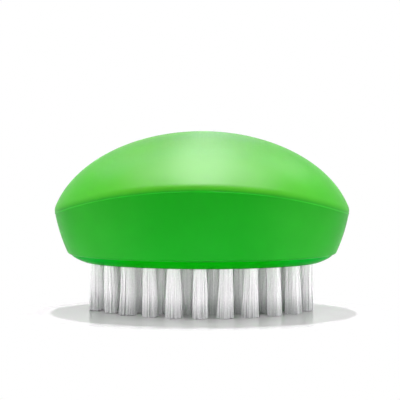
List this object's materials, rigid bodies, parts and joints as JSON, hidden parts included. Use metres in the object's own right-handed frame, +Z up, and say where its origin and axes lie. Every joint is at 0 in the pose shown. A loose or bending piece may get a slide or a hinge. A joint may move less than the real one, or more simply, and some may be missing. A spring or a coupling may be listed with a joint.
{
  "type": "vegetable brush",
  "caption": "Palm-held scrubbing brush: a domed oval soft grip with a rolled edge over tapered sides, standing on upright tufts of clear nylon bristles set in an oval block.",
  "frame": {"origin": "on the surface that the brush stands on, under its middle: the centre of its box's bottom face", "axes": "+X along the length, +Y across the width to the back, +Z up from the bristle tips to the dome"},
  "size_m": [0.09, 0.0622, 0.055],
  "materials": {
    "grip_rubber": "satin soft-touch elastomer, leaf green",
    "block_plastic": "moulded polypropylene, leaf green",
    "core_plastic": "moulded polypropylene, leaf green",
    "bristle_nylon": "clear to milky nylon filament",
    "anchor_steel": "drawn stainless wire"
  },
  "bodies": {
    "root": {"brush_block": "block_plastic", "core_shell": "core_plastic", "soft_grip": "grip_rubber", "tuft_anchors": "anchor_steel", "tuft_centre_01": "bristle_nylon", "tuft_centre_02": "bristle_nylon", "tuft_centre_03": "bristle_nylon", "tuft_centre_04": "bristle_nylon", "tuft_centre_05": "bristle_nylon", "tuft_middle_01": "bristle_nylon", "tuft_middle_02": "bristle_nylon", "tuft_middle_03": "bristle_nylon", "tuft_middle_04": "bristle_nylon", "tuft_middle_05": "bristle_nylon", "tuft_middle_06": "bristle_nylon", "tuft_middle_07": "bristle_nylon", "tuft_middle_08": "bristle_nylon", "tuft_middle_09": "bristle_nylon", "tuft_middle_10": "bristle_nylon", "tuft_middle_11": "bristle_nylon", "tuft_middle_12": "bristle_nylon", "tuft_middle_13": "bristle_nylon", "tuft_middle_14": "bristle_nylon", "tuft_outer_01": "bristle_nylon", "tuft_outer_02": "bristle_nylon", "tuft_outer_03": "bristle_nylon", "tuft_outer_04": "bristle_nylon", "tuft_outer_05": "bristle_nylon", "tuft_outer_06": "bristle_nylon", "tuft_outer_07": "bristle_nylon", "tuft_outer_08": "bristle_nylon", "tuft_outer_09": "bristle_nylon", "tuft_outer_10": "bristle_nylon", "tuft_outer_11": "bristle_nylon", "tuft_outer_12": "bristle_nylon", "tuft_outer_13": "bristle_nylon", "tuft_outer_14": "bristle_nylon", "tuft_outer_15": "bristle_nylon", "tuft_outer_16": "bristle_nylon", "tuft_outer_17": "bristle_nylon", "tuft_outer_18": "bristle_nylon", "tuft_outer_19": "bristle_nylon", "tuft_outer_20": "bristle_nylon"}
  },
  "joints": []
}
